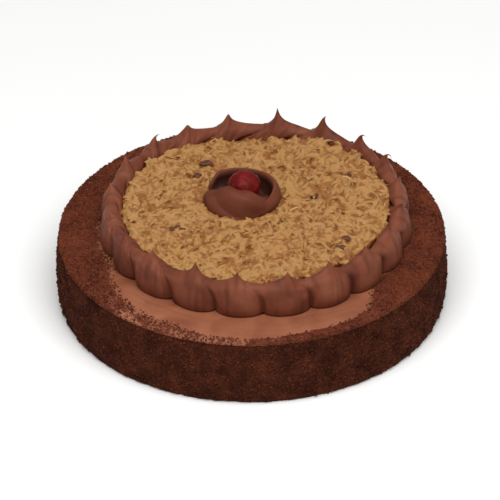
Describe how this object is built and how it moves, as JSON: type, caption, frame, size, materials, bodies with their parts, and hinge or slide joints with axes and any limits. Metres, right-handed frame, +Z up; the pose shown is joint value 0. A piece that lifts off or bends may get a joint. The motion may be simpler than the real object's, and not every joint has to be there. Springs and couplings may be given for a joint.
{
  "type": "german chocolate cake",
  "caption": "Round crumb-coated chocolate cake with a piped icing border, a coconut and pecan filling on top, and a rosette with a cherry.",
  "frame": {"origin": "centre of the cake's flat base", "axes": "+Z up; -Y is the front that the picture shows, and +X is to its right"},
  "size_m": [0.2065, 0.2065, 0.073],
  "materials": {
    "chocolate_crumbs": null,
    "chocolate_icing": "whipped milk chocolate icing, smooth with a soft satin sheen; matte plastic stands in for icing",
    "coconut_pecan_filling": "cooked caramel custard full of shredded coconut and chopped pecans, moist and lumpy; matte plastic stands in for it",
    "maraschino_cherry": "candied red cherry with a wet wrinkled skin; gloss plastic stands in for it"
  },
  "bodies": {
    "root": {"crumb_coated_cake": "chocolate_crumbs", "top_icing": "chocolate_icing", "piped_border": "chocolate_icing", "coconut_pecan_filling": "coconut_pecan_filling", "icing_rosette": "chocolate_icing", "cherry": "maraschino_cherry"}
  },
  "joints": []
}
